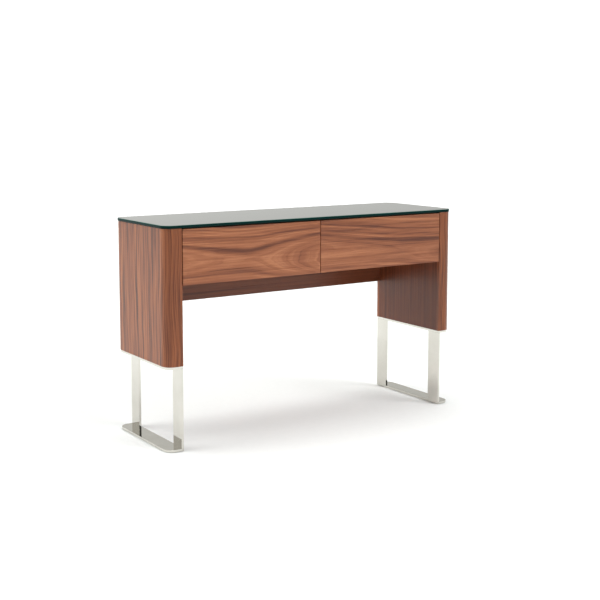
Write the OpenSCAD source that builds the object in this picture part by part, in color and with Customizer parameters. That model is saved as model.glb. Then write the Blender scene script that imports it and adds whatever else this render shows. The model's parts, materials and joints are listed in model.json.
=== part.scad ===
// Console table: two hollow veneered side panels on flat-bar sled legs carry a
// two-drawer case with a deep back apron and a painted glass top.
// Origin: centre of the footprint, on the floor. +X right, +Y back, +Z up. Millimetres.

/* [Overall] */
// Width over the side panels
body_w = 1228; // [1150:1:1500]
// Depth of the side panels
body_d = 388; // [372:1:460]
// Height of the glass above the floor
total_h = 760; // [755:1:800]

/* [Glass top] */
// Thickness of the glass
glass_t = 10; // [8:1:12]
// How far the glass stands out past the side panels
glass_overhang = 2; // [1:0.5:4]
// Thickness of the clear bumpers under the glass
bumper_t = 1; // [1:0.5:2]

/* [Side panels] */
// Thickness of a side panel, outer face to inner face
panel_t = 62; // [56:1:70]
// Height of the side panels' lower edge
panel_bottom = 290; // [250:1:320]
// Radius of the outer vertical corners
corner_r = 35; // [28:1:36]
// Thickness of the shell and of the inner panel
skin_t = 12; // [12:1:15]

/* [Case] */
// Thickness of the top board, bottom board and divider
board_t = 18; // [18:1:20]
// Thickness of the back panel
back_t = 16; // [16:1:18]
// Height of the back panel's lower edge
apron_bottom = 440; // [420:1:460]

/* [Drawers] */
// Height of the drawer fronts' lower edge
front_bottom = 560; // [555:1:565]
// Thickness of a drawer front
front_t = 18; // [16:1:20]
// Shadow gap between a drawer front and the glass
front_top_gap = 4; // [3:0.5:5]
// Gap at each side of a drawer front
reveal = 3; // [1.5:0.5:4]
// How far a front hangs below the case to make its finger grip
grip_drop = 18; // [15:1:22]
// Thickness of the drawer box's boards
box_t = 12; // [12:1:13]

/* [Legs] */
// Width of the flat bar
bar_w = 60; // [50:1:70]
// Thickness of the flat bar
bar_t = 8; // [8:1:10]
// Thickness of the foot plate
foot_t = 8; // [8:1:12]
// Thickness of the top plate, between the uprights and the side panel
mount_t = 8; // [6:1:10]
// Thickness of the floor pads
pad_t = 1.5; // [1:0.5:2]

/* [Hidden] */
$fn = 64;
eps = 0.5;                                  // overshoot of a cutter past a face

// Planes of the case
x_out = body_w / 2;                         // outer face of a side panel
x_in = x_out - panel_t;                     // inner face of a side panel
y_front = -body_d / 2;
y_back = body_d / 2;
y_front_rear = y_front + front_t;           // back of a drawer front
y_case = y_front_rear + 2;                  // front edge of the case boards
y_apron = y_back - back_t;                  // front of the back panel
z_glass = total_h - glass_t;                // underside of the glass
z_case_top = z_glass - bumper_t;            // top of the wooden body
z_top_board = z_case_top - board_t;
z_floor = front_bottom + grip_drop;         // underside of the bottom board
z_open = z_floor + board_t;                 // floor of the drawer openings
z_front_top = z_glass - front_top_gap;
z_foot_top = pad_t + foot_t;
z_plate = panel_bottom - mount_t;           // underside of the top plate
divider_x = board_t / 2;

// Side panels
plate_inset = 1;                            // top plate, from the panel's edge
block_t = 40;                               // bottom block of the panel's core
stile_w = 20;
stile_y = 60;
core_x0 = x_in + skin_t;                    // the core lies between these two
core_x1 = x_out - skin_t;

// Leg screws: two rows of three
leg_screw_x = [x_out - 20, x_in + 22];
leg_screw_y = [-145, 0, 145];
leg_screw_r = 3;
leg_head_r = 6;
leg_head_h = 3.5;
leg_screw_len = 30;
insert_r = 4.5;
insert_len = 16;

// Floor pads and glass bumpers
pad_r = 10;
pad_x = [x_out - 22, x_in + 16];
pad_y = 160;
bumper_r = 6;
bumper_at = [for (x = [-x_out + 31, -300, 300, x_out - 31], y = [-140, 140]) [x, y]];

// Dowels and cam fittings in the case
dowel_r = 4;
dowel_in_skin = 9;
dowel_in_board = 19;
cam_r = 7.5;
cam_h = 13;
cam_from_end = 34;
cam_x = x_in - cam_from_end;
cam_bolt_r = 3;
cam_bore_r = 4;
case_dowel_y = [-130, 130];
case_cam_y = [-80, 80];
top_mid_z = z_case_top - board_t / 2;
low_mid_z = z_floor + board_t / 2;
case_mid_z = [top_mid_z, low_mid_z];
back_dowel_x = [-420, -140, 140, 420];
back_dowel_z = [480, 670];
back_dowel_depth = 10;
divider_dowel_y = [-110, 110];
divider_dowel_half = 9;

// Drawer slides: a wall member, a middle member and a drawer member, nested
slide_len = 300;
slide_w = 12.7;                             // wall to drawer side
slide_half_h = 22.85;
sheet_t = 1.2;
slide_y = y_case + 2;
slide_z = (z_open + z_top_board) / 2;
wall_u1 = 9.5;                              // how far the wall member stands off the wall
middle_u = [2.6, 10.9];                     // the middle member, from and to
drawer_u0 = 5.2;                            // the drawer member starts here
middle_half_h = slide_half_h - 4.25;
drawer_half_h = slide_half_h - 8.65;
outer_cage_half_h = slide_half_h - 2.4;
inner_cage_half_h = slide_half_h - 6.75;
ball_r = 1.3;
ball_step = 18;
balls = 6;
cage_len = 100;
cage_y = slide_y + 77;
cage_t = 0.6;
slide_screw_y = [24, 150, 262];             // from the slide's front end
slide_screw_r = 1.75;
slide_head_r = 3.2;
wall_screw_len = 8;
side_screw_len = 9;

// Drawer boxes
bay_w = x_in - divider_x;                   // one drawer opening
box_w = bay_w - 2 * slide_w;
box_x0 = divider_x + slide_w;
box_x1 = x_in - slide_w;
box_h = 112;
box_z = slide_z - box_h / 2;
box_len = 326;
box_y1 = y_front_rear + box_len;
bottom_t = 6;                               // drawer bottom, and the depth of its groove
bottom_z = box_z + 6;
grip_bevel = 7;
front_screw_x = 60;                         // from each end of the box
front_screw_z = 34;                         // above and below the box's middle
front_screw_r = 2;
front_screw_head_r = 4.5;
front_screw_head_h = 2.6;
front_screw_len = box_t + 12;
drawer_bumper_r = 4;
drawer_bumper_t = 1.7;
drawer_bumper_x = [50, 500];

// ---- Small shapes ---------------------------------------------------------

// Box between two corners
module block(low, high) {
    translate(low) cube(high - low);
}

// Cylinder from a point along +X, +Y or +Z
module rod_x(at, r, len) {
    translate(at) rotate([0, 90, 0]) cylinder(r = r, h = len);
}
module rod_y(at, r, len) {
    translate(at) rotate([-90, 0, 0]) cylinder(r = r, h = len);
}
module rod_z(at, r, len) {
    translate(at) cylinder(r = r, h = len);
}

// Countersunk screw pointing along +Z, its flat head at z = 0, with a hex socket
module countersunk(r, head_r, head_h, len, socket = true) {
    difference() {
        union() {
            cylinder(r1 = head_r, r2 = r, h = head_h);
            translate([0, 0, head_h]) cylinder(r = r, h = len - head_h);
        }
        if (socket) translate([0, 0, -eps]) cylinder(r = r * 0.62, h = head_h * 0.7 + eps, $fn = 6);
    }
}

// Runs its children once for each side: the right one as drawn, or mirrored for the left
module on_side(side) {
    if (side < 0) mirror([1, 0, 0]) children();
    else children();
}

// Plan from x0 to x1 on the right-hand side, with round corners at x1 only
module round_ended(x0, x1, half, r) {
    intersection() {
        translate([x0, -half]) square([x1 - x0, 2 * half]);
        union() {
            translate([x0, -half]) square([x1 - r - x0, 2 * half]);
            translate([x0, -half + r]) square([x1 - x0, 2 * (half - r)]);
            for (s = [-1, 1]) translate([x1 - r, s * (half - r)]) circle(r = r);
        }
    }
}

// Plan of a side panel, drawn in from its edge by inset
module panel_plan(inset) {
    round_ended(x_in + inset, x_out - inset, body_d / 2 - inset, corner_r - inset);
}

// Space inside a side panel's shell, from x0 outwards
module hollow_plan(x0) {
    round_ended(x0, core_x1, body_d / 2 - skin_t, corner_r - skin_t);
}

// ---- Glass ----------------------------------------------------------------

module glass_top() {
    r = corner_r + glass_overhang;
    x = x_out + glass_overhang;
    y = y_back + glass_overhang;
    color("darkslategray")
    translate([0, 0, z_glass])
    linear_extrude(height = glass_t) {
        translate([-x + r, -y]) square([2 * (x - r), 2 * y]);
        translate([-x, -y + r]) square([2 * x, 2 * (y - r)]);
        for (sx = [-1, 1], sy = [-1, 1])
            translate([sx * (x - r), sy * (y - r)]) circle(r = r);
    }
}

module glass_bumpers() {
    color("gainsboro")
    for (p = bumper_at) rod_z([p[0], p[1], z_case_top], bumper_r, bumper_t);
}

// ---- Side panels and legs -------------------------------------------------

// Veneered shell: outer face, both round corners and the front and back returns
module outer_shell(side) {
    color("peru")
    difference() {
        on_side(side)
        translate([0, 0, panel_bottom])
        linear_extrude(height = z_case_top - panel_bottom)
        difference() {
            panel_plan(0);
            hollow_plan(x_in - eps);
        }
        side_dowels();
    }
}

// Flat inner panel, let in between the shell's returns
module inner_panel(side) {
    half = body_d / 2 - skin_t;
    color("sienna")
    difference() {
        on_side(side) difference() {
            block([x_in, -half, panel_bottom], [x_in + skin_t, half, z_case_top]);
            rail_screw_bores(x_in, 1);
        }
        side_dowels();
        cam_bolt_bores();
    }
}

// Frame glued inside the hollow: top rail, two stiles and the block that holds the leg
module core_frame(side) {
    color("burlywood")
    on_side(side)
    difference() {
        union() {
            translate([0, 0, z_top_board]) linear_extrude(height = board_t) hollow_plan(core_x0);
            translate([0, 0, panel_bottom]) linear_extrude(height = block_t) hollow_plan(core_x0);
            for (s = [-1, 1])
                block([core_x0, s * stile_y - stile_w / 2, panel_bottom + block_t - eps],
                      [core_x1, s * stile_y + stile_w / 2, z_top_board + eps]);
        }
        for (x = leg_screw_x, y = leg_screw_y) {
            rod_z([x, y, panel_bottom - eps], insert_r, insert_len + eps);
            rod_z([x, y, panel_bottom], leg_screw_r, leg_screw_len - mount_t + 1);
        }
    }
}

// Plate screwed to the panel's underside, that the uprights are welded to
module top_plate(side) {
    color("silver")
    on_side(side)
    difference() {
        translate([0, 0, z_plate]) linear_extrude(height = mount_t) panel_plan(plate_inset);
        for (x = leg_screw_x, y = leg_screw_y) {
            translate([x, y, z_plate]) cylinder(r1 = leg_head_r, r2 = leg_screw_r, h = leg_head_h);
            rod_z([x, y, z_plate], leg_screw_r, mount_t + eps);
        }
    }
}

module leg_screws(side) {
    color("dimgray")
    on_side(side)
    for (x = leg_screw_x, y = leg_screw_y)
        translate([x, y, z_plate])
        countersunk(leg_screw_r, leg_head_r, leg_head_h, leg_screw_len);
}

// Threaded sleeves in the core block
module leg_inserts(side) {
    color("goldenrod")
    on_side(side)
    for (x = leg_screw_x, y = leg_screw_y)
        difference() {
            rod_z([x, y, panel_bottom], insert_r, insert_len);
            rod_z([x, y, panel_bottom - eps], leg_screw_r, insert_len + 2 * eps);
        }
}

// Flat bar upright at the inner edge of the top plate, at one end of it
module upright(side, y0) {
    color("silver")
    on_side(side)
    block([x_in + plate_inset, y0, z_foot_top], [x_in + plate_inset + bar_t, y0 + bar_w, z_plate]);
}

module foot_plate(side) {
    color("silver")
    on_side(side)
    translate([0, 0, pad_t]) linear_extrude(height = foot_t) panel_plan(plate_inset);
}

module floor_pads(side) {
    color("black")
    on_side(side)
    for (x = pad_x, s = [-1, 1]) rod_z([x, s * pad_y, 0], pad_r, pad_t);
}

// ---- Case -----------------------------------------------------------------

// Dowels along X that join the case boards and the back panel to both side panels
module side_dowels() {
    for (s = [-1, 1]) on_side(s) {
        for (y = case_dowel_y, z = case_mid_z) side_dowel(y, z);
        for (z = back_dowel_z) side_dowel(y_back - skin_t / 2, z);
    }
}

// One of them, through the joint at the right-hand panel's inner face
module side_dowel(y, z) {
    rod_x([x_in - dowel_in_board, y, z], dowel_r, dowel_in_board + dowel_in_skin);
}

// Bores in both inner panels for the cam bolts' threads
module cam_bolt_bores() {
    for (s = [-1, 1], y = case_cam_y, z = case_mid_z)
        on_side(s) rod_x([x_in - eps, y, z], cam_bolt_r, dowel_in_skin + eps);
}

// Dowel along Y between the back panel and a board's rear edge
module back_dowel(x, z) {
    rod_y([x, y_apron - back_dowel_depth, z], dowel_r, 2 * back_dowel_depth);
}

// Dowel along Z between the divider and the top or bottom board
module divider_dowel(y, z) {
    rod_z([0, y, z - divider_dowel_half], dowel_r, 2 * divider_dowel_half);
}

module all_dowels() {
    side_dowels();
    for (x = back_dowel_x, z = case_mid_z) back_dowel(x, z);
    for (y = divider_dowel_y, z = [z_top_board, z_open]) divider_dowel(y, z);
}

module dowels() {
    color("burlywood") all_dowels();
}

// Each cam's recess in the board's underside, and the bore to it from the board's end
module cam_cuts(mid_z) {
    for (s = [-1, 1], y = case_cam_y) on_side(s) {
        rod_z([cam_x, y, mid_z - board_t / 2 - eps], cam_r, cam_h + eps);
        rod_x([cam_x, y, mid_z], cam_bore_r, cam_from_end + eps);
    }
}

// Bolt screwed into the inner panel, with the collar that the cam pulls on
module cam_bolts() {
    head_x = cam_x - 3;
    head_len = 2.5;
    shank_x = cam_x + 3;
    collar_x = x_in - 1.5;
    color("dimgray")
    for (s = [-1, 1], y = case_cam_y, z = case_mid_z)
        on_side(s) {
            rod_x([head_x, y, z], cam_bolt_r, head_len);
            rod_x([head_x + head_len - eps, y, z], cam_bolt_r - 1, shank_x - head_x - head_len + 2 * eps);
            rod_x([shank_x, y, z], cam_bolt_r, x_in + dowel_in_skin - shank_x);
            rod_x([collar_x, y, z], cam_bore_r, x_in - collar_x);
        }
}

module cam_locks() {
    slot = [7, 1.4, 3];
    color("darkgray")
    for (s = [-1, 1], y = case_cam_y, z = case_mid_z)
        on_side(s)
        difference() {
            rod_z([cam_x, y, z - board_t / 2], cam_r, cam_h);
            rod_x([cam_x - cam_bore_r - 1, y, z], cam_bore_r, 2 * cam_r);
            translate([cam_x, y, z - board_t / 2])
                for (a = [0, 90]) rotate([0, 0, a]) cube(slot, center = true);
        }
}

module top_board() {
    color("peru")
    difference() {
        block([-x_in, y_case, z_top_board], [x_in, y_apron, z_case_top]);
        cam_cuts(top_mid_z);
        all_dowels();
    }
}

module bottom_board() {
    color("peru")
    difference() {
        block([-x_in, y_case, z_floor], [x_in, y_apron, z_open]);
        cam_cuts(low_mid_z);
        all_dowels();
    }
}

module back_panel() {
    color("saddlebrown")
    difference() {
        block([-x_in, y_apron, apron_bottom], [x_in, y_back, z_case_top]);
        all_dowels();
    }
}

module centre_divider() {
    color("peru")
    difference() {
        block([-divider_x, y_case, z_open], [divider_x, y_apron, z_top_board]);
        all_dowels();
        for (s = [-1, 1]) on_side(s) rail_screw_bores(divider_x, -1);
    }
}

// Clear buttons on the top board's front edge that the drawer fronts close against
module drawer_bumpers() {
    color("gainsboro")
    for (s = [-1, 1], x = drawer_bumper_x)
        rod_y([s * x, y_case - drawer_bumper_t, top_mid_z], drawer_bumper_r, drawer_bumper_t);
}

// ---- Drawer slides --------------------------------------------------------

// Places a slide part in the right-hand bay: u = 0 at the wall, growing towards the drawer.
// dir is 1 at the side panel and -1 at the divider.
module at_wall(x, dir) {
    translate([x, 0, slide_z]) mirror([dir > 0 ? 1 : 0, 0, 0]) children();
}

module both_walls() {
    at_wall(x_in, 1) children();
    at_wall(divider_x, -1) children();
}

// C section along Y: web from u0 to u0 + t, flanges out to u1
module channel(u0, u1, half, t, y0, len, web_at_end = false) {
    web_u = web_at_end ? u1 - t : u0;
    block([web_u, y0, -half], [web_u + t, y0 + len, half]);
    for (s = [0, 1]) mirror([0, 0, s]) block([u0, y0, half - t], [u1, y0 + len, half]);
}

// Wall member, with a lip along each flange that holds the cage in
module wall_rail() {
    lip_t = 0.9;
    lip_h = 2.4;
    difference() {
        union() {
            channel(0, wall_u1, slide_half_h, sheet_t, slide_y, slide_len);
            for (s = [0, 1]) mirror([0, 0, s])
                block([wall_u1 - lip_t, slide_y, slide_half_h - lip_h],
                      [wall_u1, slide_y + slide_len, slide_half_h - sheet_t / 2]);
        }
        for (y = slide_screw_y)
            translate([sheet_t, slide_y + y, 0]) rotate([0, -90, 0])
            cylinder(r1 = slide_head_r, r2 = slide_screw_r, h = sheet_t);
    }
}

module middle_rail() {
    channel(middle_u[0], middle_u[1], middle_half_h, sheet_t, slide_y, slide_len);
}

module drawer_rail() {
    difference() {
        channel(drawer_u0, slide_w, drawer_half_h, sheet_t, slide_y, slide_len, web_at_end = true);
        for (y = slide_screw_y)
            translate([slide_w - sheet_t, slide_y + y, 0]) rotate([0, 90, 0])
            cylinder(r1 = slide_head_r, r2 = slide_screw_r, h = sheet_t);
    }
}

// Ball cage: a thin channel with a row of balls in each flange
module cage(u0, u1, half) {
    ball_u = (u0 + u1) / 2 + 1;
    ball_y0 = cage_y + (cage_len - (balls - 1) * ball_step) / 2;
    channel(u0, u1, half, cage_t, cage_y, cage_len);
    for (s = [-1, 1], i = [0 : balls - 1])
        translate([ball_u, ball_y0 + i * ball_step, s * (half - cage_t / 2)]) sphere(r = ball_r);
}

module cabinet_rails(side) {
    color("lightsteelblue") on_side(side) both_walls() wall_rail();
}

module middle_rails(side) {
    color("lightsteelblue") on_side(side) both_walls() middle_rail();
}

module inner_rails(side) {
    color("lightsteelblue") on_side(side) both_walls() drawer_rail();
}

module outer_cages(side) {
    color("gray") on_side(side) both_walls() cage(1.6, 8, outer_cage_half_h);
}

module inner_cages(side) {
    color("gray") on_side(side) both_walls() cage(4.1, 9.5, inner_cage_half_h);
}

// Bores that the wall members' screws cut into the panel or divider behind them
module rail_screw_bores(x, dir) {
    at_wall(x, dir)
    for (y = slide_screw_y)
        rod_x([sheet_t - wall_screw_len, slide_y + y, 0], slide_screw_r, wall_screw_len);
}

module cabinet_rail_screws() {
    color("dimgray")
    for (s = [-1, 1]) on_side(s) both_walls()
    for (y = slide_screw_y)
        translate([sheet_t, slide_y + y, 0]) rotate([0, -90, 0])
        countersunk(slide_screw_r, slide_head_r, sheet_t, wall_screw_len, socket = false);
}

// ---- Drawers --------------------------------------------------------------

// Front with a bevel along the back of its lower edge for the fingers
module drawer_front(side) {
    color("chocolate")
    on_side(side)
    difference() {
        translate([reveal / 2, 0, 0])
        rotate([90, 0, 90])
        linear_extrude(height = x_in - reveal * 1.5)
        polygon([
            [y_front, front_bottom],
            [y_front_rear - grip_bevel, front_bottom],
            [y_front_rear, front_bottom + grip_bevel],
            [y_front_rear, z_front_top],
            [y_front, z_front_top]
        ]);
        front_screw_bores();
    }
}

// Slot for the bottom panel, run through a drawer board
module bottom_groove() {
    inset = box_t - bottom_t;
    block([box_x0 + inset, y_front_rear + inset, bottom_z],
          [box_x1 - inset, box_y1 - inset, bottom_z + bottom_t]);
}

module box_side(side, outer) {
    x0 = outer ? box_x1 - box_t : box_x0;
    color("wheat")
    on_side(side)
    difference() {
        block([x0, y_front_rear, box_z], [x0 + box_t, box_y1, box_z + box_h]);
        bottom_groove();
        drawer_screw_bores();
    }
}

module box_end(side, front) {
    y0 = front ? y_front_rear : box_y1 - box_t;
    color("wheat")
    on_side(side)
    difference() {
        block([box_x0 + box_t, y0, box_z], [box_x1 - box_t, y0 + box_t, box_z + box_h]);
        bottom_groove();
        if (front) front_screw_bores();
    }
}

module drawer_bottom(side) {
    color("linen") on_side(side) bottom_groove();
}

// The four places where a front is screwed on, from inside the box
module at_front_screws() {
    for (x = [box_x0 + front_screw_x, box_x1 - front_screw_x], s = [-1, 1])
        translate([x, y_front_rear + box_t, slide_z + s * front_screw_z]) rotate([90, 0, 0]) children();
}

module front_screw_bores() {
    at_front_screws() translate([0, 0, -eps]) cylinder(r = front_screw_r, h = front_screw_len + eps);
}

module drawer_front_screws(side) {
    color("dimgray")
    on_side(side)
    at_front_screws() {
        cylinder(r = front_screw_r, h = front_screw_len);
        difference() {
            translate([0, 0, -front_screw_head_h]) cylinder(r = front_screw_head_r, h = front_screw_head_h);
            translate([0, 0, -front_screw_head_h])
                for (a = [0, 90]) rotate([0, 0, a]) cube([5, 1, 2.4], center = true);
        }
    }
}

module drawer_screw_bores() {
    for (w = [[x_in, 1], [divider_x, -1]])
        at_wall(w[0], w[1])
        for (y = slide_screw_y)
            rod_x([slide_w - sheet_t, slide_y + y, 0], slide_screw_r, side_screw_len);
}

module drawer_rail_screws(side) {
    color("dimgray")
    on_side(side) both_walls()
    for (y = slide_screw_y)
        translate([slide_w - sheet_t, slide_y + y, 0]) rotate([0, 90, 0])
        countersunk(slide_screw_r, slide_head_r, sheet_t, side_screw_len, socket = false);
}

// ---- Nodes ----------------------------------------------------------------

glass_top();
glass_bumpers();
top_board();
bottom_board();
back_panel();
centre_divider();
dowels();
cam_bolts();
cam_locks();
drawer_bumpers();
cabinet_rail_screws();
outer_shell(-1);  // left_outer_shell
inner_panel(-1);  // left_inner_panel
core_frame(-1);  // left_core_frame
top_plate(-1);  // left_top_plate
upright(-1, y_front + plate_inset);  // left_front_upright
upright(-1, y_back - plate_inset - bar_w);  // left_rear_upright
foot_plate(-1);  // left_foot_plate
leg_screws(-1);  // left_leg_screws
leg_inserts(-1);  // left_leg_inserts
floor_pads(-1);  // left_floor_pads
outer_shell(1);  // right_outer_shell
inner_panel(1);  // right_inner_panel
core_frame(1);  // right_core_frame
top_plate(1);  // right_top_plate
upright(1, y_front + plate_inset);  // right_front_upright
upright(1, y_back - plate_inset - bar_w);  // right_rear_upright
foot_plate(1);  // right_foot_plate
leg_screws(1);  // right_leg_screws
leg_inserts(1);  // right_leg_inserts
floor_pads(1);  // right_floor_pads
cabinet_rails(-1);  // left_drawer_cabinet_rails
middle_rails(-1);  // left_drawer_middle_rails
inner_rails(-1);  // left_drawer_inner_rails
outer_cages(-1);  // left_drawer_outer_cages
inner_cages(-1);  // left_drawer_inner_cages
drawer_front(-1);  // left_drawer_front
box_end(-1, true);  // left_drawer_box_front
box_end(-1, false);  // left_drawer_back
box_side(-1, true);  // left_drawer_left_side
box_side(-1, false);  // left_drawer_right_side
drawer_bottom(-1);  // left_drawer_bottom
drawer_front_screws(-1);  // left_drawer_front_screws
drawer_rail_screws(-1);  // left_drawer_rail_screws
cabinet_rails(1);  // right_drawer_cabinet_rails
middle_rails(1);  // right_drawer_middle_rails
inner_rails(1);  // right_drawer_inner_rails
outer_cages(1);  // right_drawer_outer_cages
inner_cages(1);  // right_drawer_inner_cages
drawer_front(1);  // right_drawer_front
box_end(1, true);  // right_drawer_box_front
box_end(1, false);  // right_drawer_back
box_side(1, false);  // right_drawer_left_side
box_side(1, true);  // right_drawer_right_side
drawer_bottom(1);  // right_drawer_bottom
drawer_front_screws(1);  // right_drawer_front_screws
drawer_rail_screws(1);  // right_drawer_rail_screws
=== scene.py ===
"""The looks of a walnut console table with a painted glass top and polished steel sled legs, round its
CAD frame. Metres, in the CAD's own frame: +X right, +Y back, +Z up, with the origin on the floor under
the table."""

import json
import math

import bmesh
import bpy
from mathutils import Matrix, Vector


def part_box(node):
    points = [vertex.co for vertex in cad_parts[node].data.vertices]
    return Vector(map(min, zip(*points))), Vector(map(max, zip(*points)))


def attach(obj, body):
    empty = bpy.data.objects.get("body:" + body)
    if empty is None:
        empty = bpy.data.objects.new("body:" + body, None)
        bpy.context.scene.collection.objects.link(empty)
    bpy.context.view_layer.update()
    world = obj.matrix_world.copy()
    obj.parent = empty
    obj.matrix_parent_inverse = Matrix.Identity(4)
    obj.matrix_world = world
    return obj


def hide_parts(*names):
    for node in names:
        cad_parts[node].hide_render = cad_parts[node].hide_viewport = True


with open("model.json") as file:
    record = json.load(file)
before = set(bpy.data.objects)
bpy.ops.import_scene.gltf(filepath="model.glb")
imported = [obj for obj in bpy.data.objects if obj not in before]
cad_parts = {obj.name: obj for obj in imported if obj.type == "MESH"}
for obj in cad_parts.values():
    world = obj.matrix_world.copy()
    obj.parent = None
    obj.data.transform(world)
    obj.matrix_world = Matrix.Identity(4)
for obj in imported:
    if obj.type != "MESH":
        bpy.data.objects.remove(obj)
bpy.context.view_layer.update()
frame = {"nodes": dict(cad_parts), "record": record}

NODES = frame["nodes"]
HANDS = ("left", "right")
MM = 0.001

# How bright each part of the studio is
BACKDROP_LEVEL = 0.88
ROOM_LEVEL = 0.10
OVERHEAD_LEVEL = 2.6
LEFT_LEVEL = 1.81
KEY_LEVEL = 1.54
CAMERA_SEES_LEVEL = 1.1

# Where the left glow and the key light stand: azimuth and elevation in degrees
LEFT_PLACE = (118.0, 27.0)
KEY_PLACE = (-25.0, 43.0)

# What the walnut's colours are multiplied by on each surface
PLAIN_TONE = (1.0, 1.0, 1.0)
FRONT_TONE = (0.98, 0.90, 0.84)
SIDE_TONE = (0.77, 0.62, 0.465)
# The back panel's and the inner panels' tones are painted shade: they darken them for the shade under the
# case
APRON_SHADE_TONE = (0.52, 0.43, 0.40)
INNER_SHADE_TONE = (0.43, 0.295, 0.215)


# ---- The camera -----------------------------------------------------------

def place_camera():
    """A short-telephoto view of the table's left front corner, from a little above its top."""
    camera = bpy.data.cameras.new("camera")
    camera.sensor_width = 36.0
    camera.lens = 67.5
    camera.shift_y = -0.1
    camera.clip_end = 50.0
    holder = bpy.data.objects.new("camera", camera)
    bpy.context.scene.collection.objects.link(holder)
    tilted_down, turned_right = 6.35, 33.53
    holder.location = (-2.2522, -3.4600, 1.1188)
    holder.rotation_euler = (math.radians(90 - tilted_down), 0.0, math.radians(-turned_right))
    bpy.context.scene.camera = holder


# ---- Building blocks for materials ----------------------------------------

class Graph:
    """A material's nodes, with a short call for each kind of node that this scene uses."""

    def __init__(self, name):
        self.material = bpy.data.materials.new(name)
        self.material.use_nodes = True
        self.tree = self.material.node_tree
        self.tree.nodes.clear()

    def node(self, kind, inputs=None, **settings):
        made = self.tree.nodes.new("ShaderNode" + kind)
        for key, value in settings.items():
            setattr(made, key, value)
        for key, value in (inputs or {}).items():
            self.feed(made.inputs[key], value)
        return made

    def feed(self, socket, value):
        if isinstance(value, bpy.types.NodeSocket):
            self.tree.links.new(value, socket)
        else:
            socket.default_value = value

    def math(self, operation, a, b=0.0):
        return self.node("Math", {0: a, 1: b}, operation=operation).outputs[0]

    def distance(self, a, b):
        """How far apart two values are."""
        return self.math("ABSOLUTE", self.math("SUBTRACT", a, b))

    def swing(self, noise, size):
        """A noise moved to vary about 0, and scaled."""
        return self.math("MULTIPLY", self.math("SUBTRACT", noise, 0.5), size)

    def place(self):
        return self.node("TexCoord").outputs["Object"]

    def split(self, vector):
        return self.node("SeparateXYZ", {"Vector": vector}).outputs

    def join(self, x, y, z):
        return self.node("CombineXYZ", {"X": x, "Y": y, "Z": z}).outputs[0]

    def stretch(self, vector, scale, shift=(0.0, 0.0, 0.0)):
        return self.node("Mapping", {"Vector": vector, "Scale": scale, "Location": shift}).outputs[0]

    def noise(self, vector, scale, detail, roughness):
        return self.node("TexNoise", {"Vector": vector, "Scale": scale, "Detail": detail,
                                      "Roughness": roughness}).outputs["Fac"]

    def streaks(self, vector, scales, detail, roughness, shift=(0.0, 0.0, 0.0)):
        """Noise with a scale of its own, in cells per metre, along each axis."""
        return self.noise(self.stretch(vector, scales, shift), 1.0, detail, roughness)

    def ramp(self, factor, stops):
        made = self.node("ValToRGB", {"Fac": factor})
        points = made.color_ramp.elements
        while len(points) < len(stops):
            points.new(0.5)
        for point, (position, colour) in zip(points, stops):
            point.position = position
            point.color = (*colour, 1.0)
        return made.outputs["Color"]

    def level(self, value, low, high, to_low=0.0, to_high=1.0):
        return self.node("MapRange", {"Value": value, "From Min": low, "From Max": high,
                                      "To Min": to_low, "To Max": to_high}).outputs["Result"]

    def mix(self, factor, a, b, blend="MIX"):
        made = self.node("Mix", data_type="RGBA", blend_type=blend)
        self.feed(made.inputs["Factor"], factor)
        self.feed(made.inputs["A"], a)
        self.feed(made.inputs["B"], b)
        return made.outputs["Result"]

    def bump(self, height, strength, distance):
        return self.node("Bump", {"Height": height, "Strength": strength, "Distance": distance}).outputs[0]

    def finish(self, **inputs):
        shader = self.node("BsdfPrincipled")
        for key, value in inputs.items():
            self.feed(shader.inputs[key.replace("_", " ")], value)
        out = self.node("OutputMaterial")
        self.tree.links.new(shader.outputs[0], out.inputs["Surface"])
        return self.material


def rgb(red, green, blue):
    """Linear colour from 0 to 255 sRGB."""
    def linear(value):
        value /= 255.0
        return value / 12.92 if value <= 0.04045 else ((value + 0.055) / 1.055) ** 2.4
    return linear(red), linear(green), linear(blue)


def rgba(red, green, blue):
    return (*rgb(red, green, blue), 1.0)


# ---- Walnut ---------------------------------------------------------------

WALNUT_STOPS = (
    (0.00, rgb(88, 50, 38)),
    (0.25, rgb(118, 70, 50)),
    (0.50, rgb(148, 92, 64)),
    (0.75, rgb(168, 108, 76)),
    (1.00, rgb(188, 128, 92)),
)
LATE_WOOD = rgba(92, 56, 48)
PORE = rgba(62, 34, 25)

# Where the walnut's middle colour lies on its stops, and how far each kind of line moves away from it
MIDDLE_STOP = 0.58
BROAD_WEIGHT = 1.15
SINGLE_WEIGHT = 0.95
LATE_WEIGHT = 0.11
FIBRE_WEIGHT = 0.85
PATCH_WEIGHT = 0.30

# A bent leaf: between which distances from its middle line it turns calm, how strong its lines are
# from there on, how far in metres its lines stray, and the painted highlight and painted shade at the
# bends (distance, half the width, how much lighter)
CALM_FROM, CALM_TO, CALM_STRENGTH = 0.15, 0.20, 0.55
BENT_STRAY = 0.03
BEND_HIGHLIGHT_AND_SHADE = ((0.166, 0.012, 0.14), (0.207, 0.026, -0.17))


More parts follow.
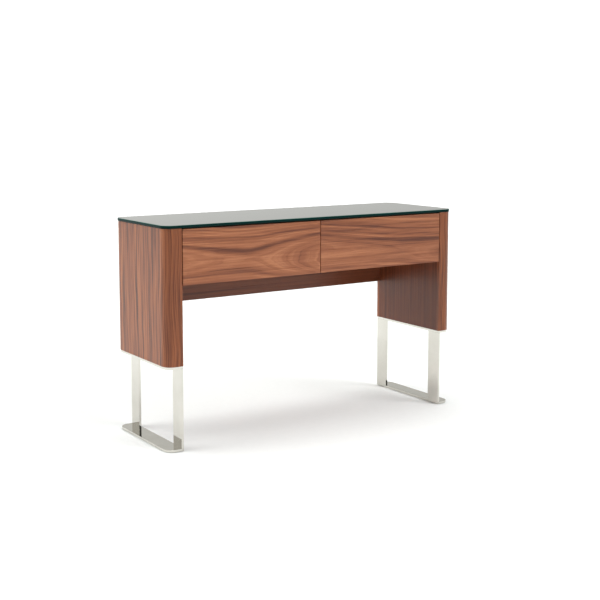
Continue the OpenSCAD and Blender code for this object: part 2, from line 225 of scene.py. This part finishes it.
def walnut(name, along, across, out, tone=PLAIN_TONE, figure=None, band=None, halves=(0.0, 0.0),
           seed=0.0, contrast=1.0, fine=1.0, lively=1.0, wraps_at=None):
    """Satin-lacquered walnut veneer. along, across and out are the axes (0, 1, 2) of the grain, of the
    leaf's width and of its thickness. figure gives the ring count whose contours are the yearly rings,
    and band is the ring that stands out dark, with paler heartwood inside it. halves are how much
    lighter the leaf is below and above the pith's line. contrast and fine are the strength of the rings
    and of the fibres. lively is how quickly a line's strength changes along the grain. A leaf that is
    bent round the side panels' corners wraps at their outer faces: its lines stray a little, and it is
    calmer past the bends, with a painted highlight where each bend starts and painted shade along its
    middle."""
    g = Graph(name)
    axes = g.split(g.place())
    run, wide = axes[along], axes[across]
    if wraps_at is not None:
        inwards = g.math("SUBTRACT", wraps_at, g.math("ABSOLUTE", axes[out]))
        wide = g.math("ADD", wide, g.math("MULTIPLY", inwards, g.math("SIGN", wide)))
        reach = g.math("ABSOLUTE", wide)
        stray = g.streaks(g.join(run, wide, seed), (5.0, 5.0, 1.0), 1.0, 0.5)
        wide = g.math("ADD", wide, g.swing(stray, BENT_STRAY))
    point = g.join(g.math("ADD", run, seed), wide, g.math("MULTIPLY", axes[out], 0.3))
    rings, above = (figure or straight_grain)(g, run, wide, point)

    # Bands of several rings, single rings, and a thin dark line of late wood at the end of each
    ring_point = g.join(rings, g.math("MULTIPLY", run, lively), seed)
    broad = g.streaks(ring_point, (0.33, 1.0, 1.0), 2.0, 0.5)
    single = g.streaks(ring_point, (1.1, 1.6, 1.0), 3.0, 0.6, (7.0, 0.0, 0.0))
    late = g.math("POWER", g.math("FRACT", rings), 5.0)

    # Fibres and open pores, drawn out along the grain
    fibre = g.streaks(point, (3.0, 190.0, 40.0), 4.0, 0.68)
    pore_field = g.streaks(point, (40.0, 1500.0, 300.0), 1.0, 0.5)
    patch = g.streaks(point, (1.8, 9.0, 1.0), 2.0, 0.5, (9.0, 2.0, 0.0))

    value = g.swing(broad, BROAD_WEIGHT * contrast)
    value = g.math("ADD", value, g.swing(single, SINGLE_WEIGHT * contrast))
    value = g.math("SUBTRACT", value, g.math("MULTIPLY", late, LATE_WEIGHT * contrast))
    value = g.math("ADD", value, g.swing(fibre, FIBRE_WEIGHT * fine))
    value = g.math("ADD", value, g.swing(patch, PATCH_WEIGHT * contrast))
    if wraps_at is not None:
        value = g.math("MULTIPLY", value, g.level(reach, CALM_FROM, CALM_TO, 1.0, CALM_STRENGTH))
        # Painted highlight where each bend starts and painted shade along its middle, added to the veneer
        for middle, half, lighter in BEND_HIGHLIGHT_AND_SHADE:
            value = g.math("ADD", value, g.level(g.distance(reach, middle), half, 0.0, 0.0, lighter))
    if band is not None:
        dark_below, dark_above, paler_inside = 0.14, 0.42, 0.10
        strength = g.level(above, -0.01, 0.01, dark_below, dark_above)
        dark = g.math("MULTIPLY", g.level(g.distance(rings, band), 1.0, 0.0), strength)
        value = g.math("SUBTRACT", value, dark)
        value = g.math("ADD", value, g.level(rings, band, band - 1.5, 0.0, paler_inside))
        value = g.math("ADD", value, g.level(above, -0.010, 0.015, *halves))
    colour = g.ramp(g.math("ADD", value, MIDDLE_STOP), WALNUT_STOPS)

    # Some late wood is cooler and darker than the rest
    cool = g.level(broad, 0.40, 0.30)
    colour = g.mix(g.math("MULTIPLY", cool, 0.45), colour, LATE_WOOD)
    pore = g.level(pore_field, 0.60, 0.72)
    colour = g.mix(g.math("MULTIPLY", pore, 0.30), colour, PORE)
    colour = g.mix(1.0, colour, (*tone, 1.0), "MULTIPLY")

    rough = g.level(fibre, 0.3, 0.7, 0.27, 0.36)
    normal = g.bump(g.math("SUBTRACT", 1.0, pore), 0.25, 0.12 * MM)
    return g.finish(Base_Color=colour, Roughness=rough, Normal=normal, IOR=1.5,
                    Specular_IOR_Level=0.4)


def straight_grain(g, run, wide, point):
    """Quarter-cut leaf: rings nearly parallel to the grain."""
    rings_per_metre, sway_rings = 230.0, 7.0
    sway = g.streaks(point, (0.9, 5.0, 2.0), 2.0, 0.5)
    even = g.math("MULTIPLY", wide, rings_per_metre)
    return g.math("ADD", even, g.math("MULTIPLY", sway, sway_rings)), None


def flames(saddle, fall_left, fall_right, axis_left, axis_right, waver):
    """Plain-sliced leaf of a drawer front, its grain along X. The pith's line runs from axis_left at the
    front's left end to axis_right at its right end. Flames point at the saddle from both sides, and
    the falls are how many rings each side has dropped at flame_length from the saddle. waver is how
    many rings the lines stray from that."""
    front_width = 0.55
    flame_length = 0.29
    fall_power = 1.35
    arch_rings = 1000.0
    axis_stray = 0.020

    def rings(g, run, wide, point):
        off = g.math("SUBTRACT", run, saddle)
        right = g.math("POWER", g.math("MAXIMUM", off, 0.0), fall_power)
        left = g.math("POWER", g.math("MAXIMUM", g.math("MULTIPLY", off, -1.0), 0.0), fall_power)
        drop = g.math("ADD", g.math("MULTIPLY", right, fall_right / flame_length ** fall_power),
                      g.math("MULTIPLY", left, fall_left / flame_length ** fall_power))
        start = 0.0 if saddle > 0 else -front_width
        slope = (axis_right - axis_left) / front_width
        axis = g.math("ADD", axis_left, g.math("MULTIPLY", g.math("SUBTRACT", run, start), slope))
        wander = g.streaks(point, (3.0, 0.5, 1.0), 1.0, 0.5, (2.0, 0.0, 0.0))
        axis = g.math("ADD", axis, g.swing(wander, axis_stray))
        rise = g.math("SUBTRACT", wide, axis)
        arch = g.math("MULTIPLY", g.math("MULTIPLY", rise, rise), arch_rings)
        stray = g.streaks(point, (3.6, 20.0, 4.0), 2.0, 0.5)
        return g.math("ADD", g.math("SUBTRACT", arch, drop), g.math("MULTIPLY", stray, waver)), rise

    return rings


# ---- Other materials ------------------------------------------------------

def plain_wood(name, dark, light, along, across, roughness):
    """Pale wood, with grain lines along one axis."""
    g = Graph(name)
    axes = g.split(g.place())
    point = g.join(axes[along], axes[across], axes[3 - along - across])
    wave = g.streaks(point, (3.0, 60.0, 20.0), 4.0, 0.6)
    fine = g.streaks(point, (25.0, 700.0, 200.0), 2.0, 0.6)
    value = g.math("ADD", g.math("MULTIPLY", wave, 0.7), g.math("MULTIPLY", fine, 0.3))
    colour = g.ramp(g.level(value, 0.3, 0.7), ((0.0, dark), (1.0, light)))
    return g.finish(Base_Color=colour, Roughness=roughness, Normal=g.bump(fine, 0.15, 0.1 * MM))


def birch_plywood(name):
    """Pale faces, and the plies as dark and light lines on the edges that face up."""
    g = Graph(name)
    axes = g.split(g.place())
    point = g.join(axes[1], axes[2], axes[0])
    wave = g.streaks(point, (3.0, 70.0, 20.0), 4.0, 0.6)
    fine = g.streaks(point, (25.0, 600.0, 200.0), 2.0, 0.6)
    value = g.math("ADD", g.math("MULTIPLY", wave, 0.75), g.math("MULTIPLY", fine, 0.25))
    colour = g.ramp(g.level(value, 0.3, 0.7), ((0.0, rgb(196, 164, 122)), (1.0, rgb(226, 200, 162))))
    plies_per_metre = 500.0
    plies = g.math("PINGPONG", g.math("MULTIPLY", g.math("ADD", axes[0], axes[1]), plies_per_metre), 1.0)
    facing_up = g.split(g.node("NewGeometry").outputs["Normal"])[2]
    top = g.level(facing_up, 0.85, 0.95)
    edge = g.math("MULTIPLY", top, g.level(plies, 0.35, 0.65))
    colour = g.mix(g.math("MULTIPLY", edge, 0.55), colour, rgba(140, 96, 60))
    return g.finish(Base_Color=colour, Roughness=0.42, Normal=g.bump(fine, 0.12, 0.1 * MM),
                    Coat_Weight=0.15, Coat_Roughness=0.3)


def polished_steel(name):
    """Mirror-polished stainless: buffing haze and a trace of fingermarks."""
    g = Graph(name)
    place = g.place()
    haze = g.noise(place, 14.0, 3.0, 0.6)
    buff = g.streaks(place, (60.0, 60.0, 1400.0), 2.0, 0.5)
    rough = g.math("ADD", g.level(haze, 0.3, 0.7, 0.025, 0.065), g.math("MULTIPLY", buff, 0.02))
    ripple = g.noise(place, 9.0, 1.0, 0.4)
    colour = g.ramp(haze, ((0.3, rgb(208, 205, 197)), (0.7, rgb(216, 213, 206))))
    return g.finish(Base_Color=colour, Metallic=1.0, Roughness=rough,
                    Normal=g.bump(ripple, 0.05, 0.05 * MM))


def bright_metal(name, colour, darker, roughness, grain=(4.0, 500.0, 500.0)):
    """Plated or turned metal with fine drawing lines."""
    g = Graph(name)
    place = g.place()
    lines = g.streaks(place, grain, 3.0, 0.6)
    blotch = g.noise(place, 30.0, 2.0, 0.5)
    mixed = g.ramp(g.math("ADD", g.math("MULTIPLY", lines, 0.5), g.math("MULTIPLY", blotch, 0.5)),
                   ((0.3, darker), (0.7, colour)))
    rough = g.level(blotch, 0.3, 0.7, roughness * 0.8, roughness * 1.2)
    return g.finish(Base_Color=mixed, Metallic=1.0, Roughness=rough, Normal=g.bump(lines, 0.08, 0.1 * MM))


def soft_plastic(name, colour, roughness, transmission=0.0):
    """Rubber or silicone with a moulded, faintly speckled skin."""
    g = Graph(name)
    speckle = g.noise(g.place(), 900.0, 2.0, 0.6)
    low = tuple(channel * 0.8 for channel in colour)
    mixed = g.ramp(speckle, ((0.3, low), (0.7, colour)))
    return g.finish(Base_Color=mixed, Roughness=roughness, Transmission_Weight=transmission,
                    IOR=1.42, Normal=g.bump(speckle, 0.15, 0.1 * MM))


def glass_face(name):
    """The pane seen from above: dark back-paint deep under a smooth, reflective surface."""
    g = Graph(name)
    place = g.place()
    depth = g.noise(place, 2.2, 2.0, 0.5)
    colour = g.ramp(depth, ((0.3, rgb(37, 44, 42)), (0.7, rgb(44, 51, 48))))
    wave = g.noise(place, 3.5, 1.0, 0.4)
    return g.finish(Base_Color=colour, Roughness=0.03, IOR=1.52, Normal=g.bump(wave, 0.02, 0.2 * MM))


def glass_edge(name, low, high):
    """The polished edge: thick float glass shows deep green, with a painted highlight on its top arris."""
    g = Graph(name)
    place = g.place()
    tall = g.level(g.split(place)[2], low, high)
    streak = g.streaks(place, (9.0, 9.0, 160.0), 3.0, 0.6)
    value = g.math("ADD", tall, g.swing(streak, 0.35))
    # The pale top stop is a painted highlight along the top arris
    colour = g.ramp(value, ((0.0, rgb(18, 38, 34)), (0.40, rgb(4, 36, 34)),
                            (0.80, rgb(5, 46, 43)), (1.0, rgb(64, 110, 102))))
    return g.finish(Base_Color=colour, Roughness=0.06, IOR=1.52, Specular_IOR_Level=0.05)


def back_paint(name):
    """The coat of paint on the underside of the glass."""
    g = Graph(name)
    orange_peel = g.noise(g.place(), 350.0, 2.0, 0.6)
    colour = g.ramp(orange_peel, ((0.3, rgb(30, 33, 31)), (0.7, rgb(38, 41, 39))))
    return g.finish(Base_Color=colour, Roughness=0.55, Normal=g.bump(orange_peel, 0.1, 0.2 * MM))


# ---- Meshes ---------------------------------------------------------------

def coat(obj, material):
    obj.data.materials.clear()
    obj.data.materials.append(material)


def soften(obj, radius):
    """Rounds a CAD node's sharp edges a little with modifiers; its own vertices stay."""
    weld = obj.modifiers.new("weld", "WELD")
    weld.merge_threshold = 0.01 * MM
    bevel = obj.modifiers.new("bevel", "BEVEL")
    bevel.width = radius
    bevel.segments = 3
    bevel.limit_method = "ANGLE"
    bevel.angle_limit = math.radians(35.0)
    bevel.use_clamp_overlap = True
    normals = obj.modifiers.new("weighted_normal", "WEIGHTED_NORMAL")
    normals.mode = "FACE_AREA"
    normals.weight = 100
    for face in obj.data.polygons:
        face.use_smooth = True


def prism(name, outline, low, high, arris):
    """A solid with that plan between two heights, its top and bottom arrises rounded. Its material
    slots are 0 for the side, 1 for the top and 2 for the bottom."""
    mesh = bpy.data.meshes.new(name)
    shell = bmesh.new()
    rings = []
    for height, inset in arris_steps(low, high, arris):
        rings.append([shell.verts.new((x, y, height)) for x, y in inset_outline(outline, inset)])
    for below, above in zip(rings, rings[1:]):
        for i in range(len(outline)):
            j = (i + 1) % len(outline)
            side = shell.faces.new((below[i], below[j], above[j], above[i]))
            side.smooth = True
    shell.faces.new(rings[-1]).material_index = 1
    shell.faces.new(reversed(rings[0])).material_index = 2
    bmesh.ops.recalc_face_normals(shell, faces=shell.faces)
    shell.to_mesh(mesh)
    shell.free()
    made = bpy.data.objects.new(name, mesh)
    bpy.context.scene.collection.objects.link(made)
    return made


def arris_steps(low, high, arris):
    """(height, inset) pairs from the bottom to the top of a prism with rounded arrises."""
    segments = 3
    steps = []
    for i in range(segments + 1):
        turn = math.pi / 2 * i / segments
        steps.append((low + arris * (1 - math.sin(turn)), arris * (1 - math.cos(turn))))
    top = [(high + low - height, inset) for height, inset in steps]
    return steps[::-1] + top


def inset_outline(outline, inset):
    """The outline moved inwards by inset, along the bisector at each point."""
    if inset == 0:
        return outline
    moved = []
    count = len(outline)
    for i, point in enumerate(outline):
        before = Vector(outline[i - 1])
        here = Vector(point)
        after = Vector(outline[(i + 1) % count])
        first = (here - before).normalized()
        second = (after - here).normalized()
        normal = Vector((-first.y, first.x)) + Vector((-second.y, second.x))
        scale = inset / max(0.2, 0.5 * normal.length_squared)
        moved.append(tuple(here + normal * scale))
    return moved


def rounded_rectangle(x0, y0, x1, y1, radius):
    """Counter-clockwise outline."""
    edges_per_corner = 20
    centres = (((x1 - radius, y0 + radius), -90), ((x1 - radius, y1 - radius), 0),
               ((x0 + radius, y1 - radius), 90), ((x0 + radius, y0 + radius), 180))
    outline = []
    for (x, y), start in centres:
        for i in range(edges_per_corner + 1):
            turn = math.radians(start + 90 * i / edges_per_corner)
            outline.append((x + radius * math.cos(turn), y + radius * math.sin(turn)))
    return outline


# ---- Putting the table together -------------------------------------------

def make_glass():
    """The pane: its face, its green polished edge and its painted underside are one solid."""
    corner_radius = 37 * MM
    arris = 0.8 * MM
    low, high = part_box("glass_top")
    outline = rounded_rectangle(low.x, low.y, high.x, high.y, corner_radius)
    pane = prism("glass_pane", outline, low.z, high.z, arris)
    pane.data.materials.append(glass_edge("glass_edge", low.z, high.z))
    pane.data.materials.append(glass_face("glass_face"))
    pane.data.materials.append(back_paint("glass_back_paint"))
    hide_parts("glass_top")
    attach(pane, "table")


def dress_legs():
    """Mirror-polished plates and flat bars, their arrises eased."""
    steel = polished_steel("polished_stainless")
    eases = {"foot_plate": 0.5, "top_plate": 0.5, "front_upright": 0.6, "rear_upright": 0.6}
    for hand in HANDS:
        for part, ease in eases.items():
            soften(NODES[f"{hand}_{part}"], ease * MM)
            coat(NODES[f"{hand}_{part}"], steel)


def dress_wood():
    """Walnut on the case, the drawer fronts and the side panels, each kind of face with its own leaf. The
    back panel and the inner panels are darkened all over with painted shade.
    """
    left_flames = flames(saddle=-0.29, fall_left=1.4, fall_right=5.4,
                         axis_left=0.637, axis_right=0.618, waver=2.2)
    right_flames = flames(saddle=0.37, fall_left=0.8, fall_right=1.2,
                          axis_left=0.645, axis_right=0.606, waver=1.5)
    fronts = {"left": walnut("walnut_left_front", 0, 2, 1, tone=FRONT_TONE, figure=left_flames,
                             band=2.5, contrast=1.3, fine=1.3),
              "right": walnut("walnut_right_front", 0, 2, 1, tone=FRONT_TONE, figure=right_flames,
                              band=2.2, halves=(0.08, -0.03), seed=2.3, contrast=1.2, fine=1.7)}
    side = walnut("walnut_side", 2, 1, 0, tone=SIDE_TONE, seed=14.2, contrast=1.35, fine=3.4, lively=3.0,
                  wraps_at=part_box("right_outer_shell")[1].x)
    # The inner panels' dark tone is painted shade
    inner = walnut("walnut_inner_painted_shade", 2, 1, 0, tone=INNER_SHADE_TONE, seed=8.1, contrast=0.3, fine=1.4)
    board = walnut("walnut_board", 0, 1, 2, seed=5.5, contrast=0.7)
    # The back panel's dark tone is painted shade
    apron = walnut("walnut_apron_painted_shade", 0, 2, 1, tone=APRON_SHADE_TONE, seed=1.9, contrast=0.25)
    for name in ("top_board", "bottom_board", "centre_divider"):
        soften(NODES[name], 0.4 * MM)
        coat(NODES[name], board)
    soften(NODES["back_panel"], 0.5 * MM)
    coat(NODES["back_panel"], apron)
    for hand in HANDS:
        soften(NODES[f"{hand}_drawer_front"], 0.5 * MM)
        coat(NODES[f"{hand}_drawer_front"], fronts[hand])
        soften(NODES[f"{hand}_outer_shell"], 0.5 * MM)
        coat(NODES[f"{hand}_outer_shell"], side)
        coat(NODES[f"{hand}_inner_panel"], inner)


def dress_drawers():
    """Plywood boxes, with a bottom of a slightly darker wood."""
    ply = birch_plywood("birch_plywood")
    liner = plain_wood("drawer_liner", rgb(170, 142, 106), rgb(196, 170, 134), 0, 1, 0.5)
    for hand in HANDS:
        for part in ("box_front", "left_side", "right_side", "back"):
            soften(NODES[f"{hand}_drawer_{part}"], 0.6 * MM)
            coat(NODES[f"{hand}_drawer_{part}"], ply)
        coat(NODES[f"{hand}_drawer_bottom"], liner)


def dress_hardware():
    """Slides, fasteners, cores, bumpers and pads, each by its material slot in the record."""
    cast = (120.0, 120.0, 120.0)
    blackened = (200.0, 200.0, 200.0)
    finishes = {
        "zinc_steel": bright_metal("zinc_plate", rgb(198, 202, 206), rgb(160, 166, 172), 0.26),
        "cage_steel": bright_metal("cage_steel", rgb(150, 152, 154), rgb(112, 114, 116), 0.34),
        "zinc_alloy": bright_metal("die_cast", rgb(150, 150, 152), rgb(118, 118, 120), 0.42, cast),
        "black_steel": bright_metal("black_oxide", rgb(40, 40, 42), rgb(24, 24, 26), 0.40, blackened),
        "brass": bright_metal("brass", rgb(206, 172, 106), rgb(168, 132, 72), 0.30),
        "pine_core": plain_wood("pine_core", rgb(186, 146, 96), rgb(218, 184, 136), 2, 1, 0.65),
        "beech": plain_wood("beech", rgb(190, 144, 98), rgb(214, 172, 126), 0, 2, 0.6),
        "black_rubber": soft_plastic("black_rubber", rgb(30, 30, 31), 0.72),
        "clear_silicone": soft_plastic("clear_silicone", rgb(214, 218, 218), 0.30, 0.6),
    }
    for part in frame["record"]["subparts"]:
        if part["material_slot"] in finishes:
            coat(NODES[part["node"]], finishes[part["material_slot"]])


# ---- Light and floor ------------------------------------------------------

def make_floor():
    """A pale studio floor that runs well past the table."""
    g = Graph("studio_floor")
    grain = g.noise(g.place(), 40.0, 3.0, 0.6)
    colour = g.ramp(grain, ((0.3, (0.90, 0.92, 0.935)), (0.7, (0.92, 0.94, 0.955))))
    material = g.finish(Base_Color=colour, Roughness=0.8)
    half = 12.0
    mesh = bpy.data.meshes.new("studio_floor")
    mesh.from_pydata([(-half, -half, 0), (half, -half, 0), (half, half, 0), (-half, half, 0)],
                     [], [(0, 1, 2, 3)])
    floor = bpy.data.objects.new("studio_floor", mesh)
    bpy.context.scene.collection.objects.link(floor)
    coat(floor, material)


def compass(azimuth, elevation):
    """The direction towards a light. Azimuth is in degrees from -Y towards -X."""
    turn, lift = math.radians(azimuth), math.radians(elevation)
    return Vector((-math.sin(turn) * math.cos(lift), -math.cos(turn) * math.cos(lift), math.sin(lift)))


def make_world():
    """A studio in the round: a white backdrop behind and to the left of the table, brighter low down
    than high up, a dim room behind the camera, a broad soft light overhead and another from the left.
    The camera itself sees it as plain white."""
    world = bpy.data.worlds.new("studio")
    world.use_nodes = True
    bpy.context.scene.world = world
    tree = world.node_tree
    tree.nodes.clear()

    def node(kind, inputs=None, **settings):
        made = tree.nodes.new("ShaderNode" + kind)
        for key, value in settings.items():
            setattr(made, key, value)
        for key, value in (inputs or {}).items():
            if isinstance(value, bpy.types.NodeSocket):
                tree.links.new(value, made.inputs[key])
            else:
                made.inputs[key].default_value = value
        return made.outputs

    def fade(value, start, end, low, high, kind="LINEAR"):
        """low up to start, high from end on, and a fade between them."""
        return node("MapRange", {"Value": value, "From Min": start, "From Max": end,
                                 "To Min": low, "To Max": high}, interpolation_type=kind)["Result"]

    def both(operation, a, b):
        return node("Math", {0: a, 1: b}, operation=operation)[0]

    direction = node("TexCoord")["Generated"]
    axes = node("SeparateXYZ", {0: direction})
    backdrop = fade(axes["Y"], -0.25, 0.15, ROOM_LEVEL, BACKDROP_LEVEL, "SMOOTHSTEP")
    upwards = fade(axes["Z"], 0.12, 0.34, 1.0, 0.66)
    rightwards = fade(axes["X"], 0.38, 0.75, 1.0, 0.74)
    overhead = fade(axes["Z"], 0.82, 0.94, 0.0, OVERHEAD_LEVEL, "SMOOTHSTEP")
    facing = node("VectorMath", {0: direction, 1: compass(*LEFT_PLACE)}, operation="DOT_PRODUCT")["Value"]
    rim, full = math.cos(math.radians(33.0)), math.cos(math.radians(17.0))
    left = fade(facing, rim, full, 0.0, LEFT_LEVEL, "SMOOTHSTEP")
    level = both("MULTIPLY", both("MULTIPLY", backdrop, upwards), rightwards)
    level = both("ADD", both("ADD", level, overhead), left)
    room = node("Background", {"Color": (1.0, 1.0, 0.96, 1.0), "Strength": level})
    white = node("Background", {"Color": (1.0, 1.0, 1.0, 1.0), "Strength": CAMERA_SEES_LEVEL})
    seen = node("LightPath")["Is Camera Ray"]
    surface = node("MixShader", {0: seen, 1: room[0], 2: white[0]})
    node("OutputWorld", {"Surface": surface[0]})


def make_key_light():
    """A large far-off softbox in front of the table, a little to its right. It is scrimmed, so that the
    glass shows no outline of it."""
    light = bpy.data.lights.new("key", "SUN")
    light.energy = KEY_LEVEL
    light.angle = math.radians(34.0)
    lamp = bpy.data.objects.new("key", light)
    lamp.rotation_euler = compass(*KEY_PLACE).to_track_quat("Z", "Y").to_euler()
    lamp.visible_glossy = False
    bpy.context.scene.collection.objects.link(lamp)


# ---- Run ------------------------------------------------------------------

place_camera()
make_world()
make_floor()
make_key_light()
make_glass()
dress_legs()
dress_wood()
dress_drawers()
dress_hardware()
bpy.context.scene.view_settings.view_transform = "Standard"
